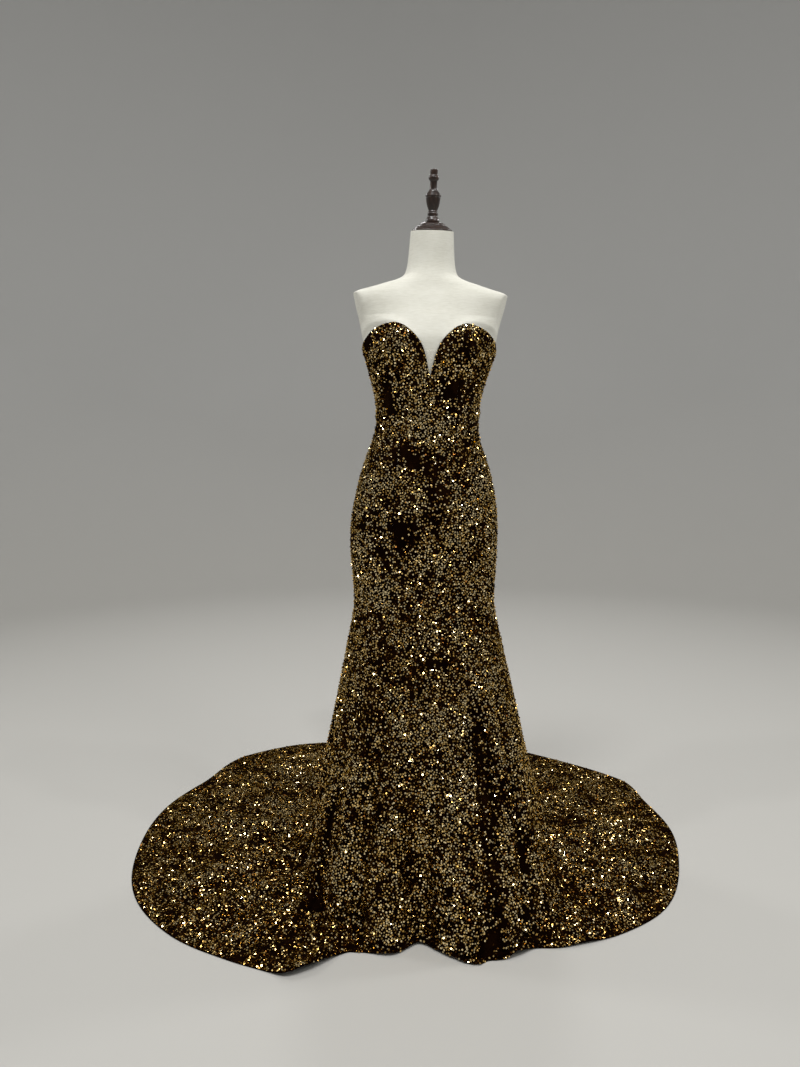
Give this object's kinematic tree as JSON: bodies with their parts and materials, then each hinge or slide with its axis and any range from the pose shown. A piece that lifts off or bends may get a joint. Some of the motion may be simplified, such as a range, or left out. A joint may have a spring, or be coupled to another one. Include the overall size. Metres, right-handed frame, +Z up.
{
  "type": "evening gown on a dress form",
  "caption": "Strapless sequin-velvet mermaid gown with a plunging sweetheart neckline and a round sweep train, on a limbless dress form with a turned wooden finial.",
  "frame": {"origin": "centre of the underside of the stand's round foot, on the floor", "axes": "+Z up, -Y the way the gown's front faces, +X the wearer's left"},
  "size_m": [1.4818, 1.3038, 1.7163],
  "materials": {
    "velvet": "near-black brown velvet, thickly scattered with small gold sequins",
    "net": "fine nude net",
    "zip_tape": "dark woven tape with a nylon coil",
    "zip_metal": "gold-coloured plated metal",
    "canvas": "cream linen stretched over a smooth form",
    "wood": "dark stained turned wood, satin varnish",
    "stand": "satin black paint on steel"
  },
  "bodies": {
    "root": {"centre_front": "velvet", "side_front_right": "velvet", "side_front_left": "velvet", "side_back_right": "velvet", "side_back_left": "velvet", "back_right": "velvet", "back_left": "velvet", "plunge_net": "net", "back_zip": "zip_tape", "zip_slider": "zip_metal", "torso": "canvas", "neck_cap": "wood", "finial": "wood", "stand_foot": "stand", "pole_socket": "stand", "pole": "stand", "pole_flange": "stand"},
    "pull_tab": {"zip_pull": "zip_metal"}
  },
  "joints": [
    {"name": "pull_tab_hinge", "type": "hinge", "parent": "root", "child": "pull_tab", "pos_m": [0.01203, 0.09878, 1.2423], "axis": [1, 0, 0], "range_deg": [0, 165]}
  ]
}
